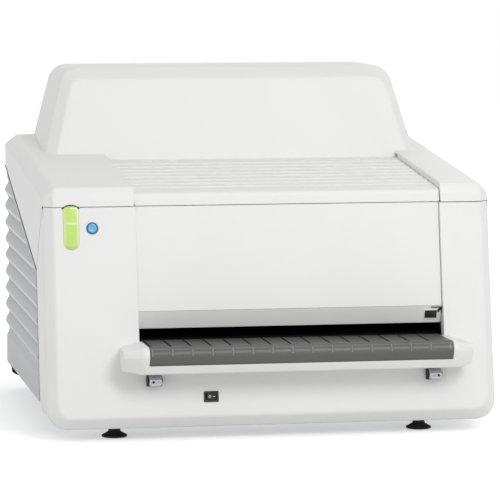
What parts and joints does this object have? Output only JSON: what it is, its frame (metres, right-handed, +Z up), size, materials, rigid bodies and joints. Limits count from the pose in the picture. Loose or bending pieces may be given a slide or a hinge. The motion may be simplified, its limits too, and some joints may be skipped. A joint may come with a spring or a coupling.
{
  "type": "phosphor plate scanner",
  "caption": "Tabletop scanner for phosphor plate cassettes: ribbed loading tray, tall front panel with a hinged top lid, ribbed side panels and a raised rear hood.",
  "frame": {"origin": "centre of the footprint's bounding box, on the table", "axes": "+X to the right seen from the front, +Y to the back, +Z up; the cassette tray is at -Y"},
  "size_m": [0.693, 0.7009, 0.546],
  "materials": {
    "white_plastic": "fine textured moulded plastic",
    "grey_plastic": "fine textured moulded plastic",
    "band_grey": "satin moulded plastic",
    "tray_grey": "satin moulded plastic",
    "black_plastic": "satin moulded plastic",
    "foot_rubber": "moulded rubber over a steel stud",
    "roller_rubber": "ground rubber sleeve",
    "zinc_steel": "zinc plated sheet",
    "bright_chrome": "polished plate",
    "aluminium": "machined or folded",
    "bearing_brass": "machined",
    "lens_green": "glossy tinted plastic",
    "button_blue": "glossy plastic",
    "ring_blue": "glossy plastic",
    "board_green": "printed circuit board",
    "lamp_white": "lamp bar",
    "clear_guide": "polished acrylic",
    "mirror_glass": "front silvered"
  },
  "bodies": {
    "frame": {"front_frame": "white_plastic", "top_cover": "white_plastic", "front_panel": "white_plastic", "rear_cover": "grey_plastic", "side_panel_left": "grey_plastic", "side_panel_right": "grey_plastic", "slot_band": "band_grey", "cassette_tray": "tray_grey", "interlock_switch": "black_plastic", "lamp_holder": "black_plastic", "rocker_housing": "black_plastic", "latch_base_left": "black_plastic", "latch_base_right": "black_plastic", "lower_guide": "black_plastic", "upper_guide": "black_plastic", "scan_housing": "black_plastic", "polygon_motor": "black_plastic", "photomultiplier": "black_plastic", "transport_motor": "black_plastic", "fan_frame": "black_plastic", "power_inlet": "black_plastic", "drive_belt": "roller_rubber", "base_pan": "zinc_steel", "lid_hinge_rod": "zinc_steel", "chassis_left": "zinc_steel", "chassis_right": "zinc_steel", "optics_bridge": "zinc_steel", "rear_chute": "zinc_steel", "eraser_housing": "aluminium", "laser_module": "aluminium", "power_supply": "aluminium", "data_port": "aluminium", "entry_bearing_left": "bearing_brass", "entry_bearing_right": "bearing_brass", "exit_bearing_left": "bearing_brass", "exit_bearing_right": "bearing_brass", "status_lens": "lens_green", "button_ring": "ring_blue", "main_board": "board_green", "eraser_lamps": "lamp_white", "light_guide": "clear_guide", "fold_mirror": "mirror_glass"},
    "lid": {"service_lid": "white_plastic"},
    "rocker": {"power_rocker": "black_plastic"},
    "button": {"erase_button": "button_blue"},
    "latch_left": {"tray_latch_left": "bright_chrome"},
    "latch_right": {"tray_latch_right": "bright_chrome"},
    "clamp": {"clamp_bar": "aluminium"},
    "entry_drive": {"entry_drive_roller": "roller_rubber"},
    "exit_drive": {"exit_drive_roller": "roller_rubber"},
    "entry_pinch": {"entry_pinch_roller": "roller_rubber"},
    "exit_pinch": {"exit_pinch_roller": "roller_rubber"},
    "motor_shaft": {"motor_pulley": "aluminium"},
    "polygon": {"polygon_mirror": "mirror_glass"},
    "fan": {"fan_rotor": "black_plastic"},
    "front_left_foot": {"foot_front_left": "foot_rubber"},
    "front_right_foot": {"foot_front_right": "foot_rubber"},
    "rear_left_foot": {"foot_rear_left": "foot_rubber"},
    "rear_right_foot": {"foot_rear_right": "foot_rubber"}
  },
  "joints": [
    {"name": "lid_hinge", "type": "hinge", "parent": "frame", "child": "lid", "pos_m": [0.03, 0.0515, 0.39388], "axis": [-1, 0, 0], "range_deg": [0, 100]},
    {"name": "rocker_pivot", "type": "hinge", "parent": "frame", "child": "rocker", "pos_m": [-0.0985, -0.28446, 0.0666], "axis": [0, -0.1736, -0.9848], "range_deg": [0, 18]},
    {"name": "button_press", "type": "slide", "parent": "frame", "child": "button", "axis": [0, 0.9848, -0.1736], "range_m": [0, 0.0018], "stiffness_N_per_m": 300, "springref_m": -0.001},
    {"name": "left_latch_pivot", "type": "hinge", "parent": "frame", "child": "latch_left", "pos_m": [-0.185, -0.29278, 0.09426], "axis": [-1, 0, 0], "range_deg": [0, 90]},
    {"name": "right_latch_pivot", "type": "hinge", "parent": "frame", "child": "latch_right", "pos_m": [0.245, -0.29278, 0.09426], "axis": [-1, 0, 0], "range_deg": [0, 90]},
    {"name": "clamp_drop", "type": "slide", "parent": "frame", "child": "clamp", "axis": [0, 0, -1], "range_m": [0, 0.01], "stiffness_N_per_m": 400, "springref_m": -0.015},
    {"name": "entry_drive_spin", "type": "hinge", "parent": "frame", "child": "entry_drive", "pos_m": [0.03, 0.1545, 0.144], "axis": [1, 0, 0], "continuous": true},
    {"name": "exit_drive_spin", "type": "hinge", "parent": "frame", "child": "exit_drive", "pos_m": [0.03, 0.2705, 0.144], "axis": [1, 0, 0], "continuous": true},
    {"name": "entry_pinch_spin", "type": "hinge", "parent": "frame", "child": "entry_pinch", "pos_m": [0.03, 0.1545, 0.172], "axis": [1, 0, 0], "continuous": true},
    {"name": "exit_pinch_spin", "type": "hinge", "parent": "frame", "child": "exit_pinch", "pos_m": [0.03, 0.2705, 0.172], "axis": [1, 0, 0], "continuous": true},
    {"name": "motor_spin", "type": "hinge", "parent": "frame", "child": "motor_shaft", "pos_m": [0.28, 0.2125, 0.082], "axis": [1, 0, 0], "continuous": true},
    {"name": "polygon_spin", "type": "hinge", "parent": "frame", "child": "polygon", "pos_m": [0.102, 0.2365, 0.42], "axis": [0, 0, 1], "continuous": true},
    {"name": "fan_spin", "type": "hinge", "parent": "frame", "child": "fan", "pos_m": [-0.262, 0.335, 0.118], "axis": [0, 1, 0], "continuous": true},
    {"name": "front_left_foot_turn", "type": "hinge", "parent": "frame", "child": "front_left_foot", "pos_m": [-0.237, -0.2215, 0], "axis": [0, 0, 1], "continuous": true},
    {"name": "front_right_foot_turn", "type": "hinge", "parent": "frame", "child": "front_right_foot", "pos_m": [0.237, -0.2215, 0], "axis": [0, 0, 1], "continuous": true},
    {"name": "rear_left_foot_turn", "type": "hinge", "parent": "frame", "child": "rear_left_foot", "pos_m": [-0.237, 0.2825, 0], "axis": [0, 0, 1], "continuous": true},
    {"name": "rear_right_foot_turn", "type": "hinge", "parent": "frame", "child": "rear_right_foot", "pos_m": [0.237, 0.2825, 0], "axis": [0, 0, 1], "continuous": true}
  ],
  "couplings": [
    {"joint": "exit_drive_spin", "follows": "entry_drive_spin", "ratio": 1},
    {"joint": "entry_pinch_spin", "follows": "entry_drive_spin", "ratio": -1.1667},
    {"joint": "exit_pinch_spin", "follows": "entry_drive_spin", "ratio": -1.1667},
    {"joint": "motor_spin", "follows": "entry_drive_spin", "ratio": 1.5}
  ]
}
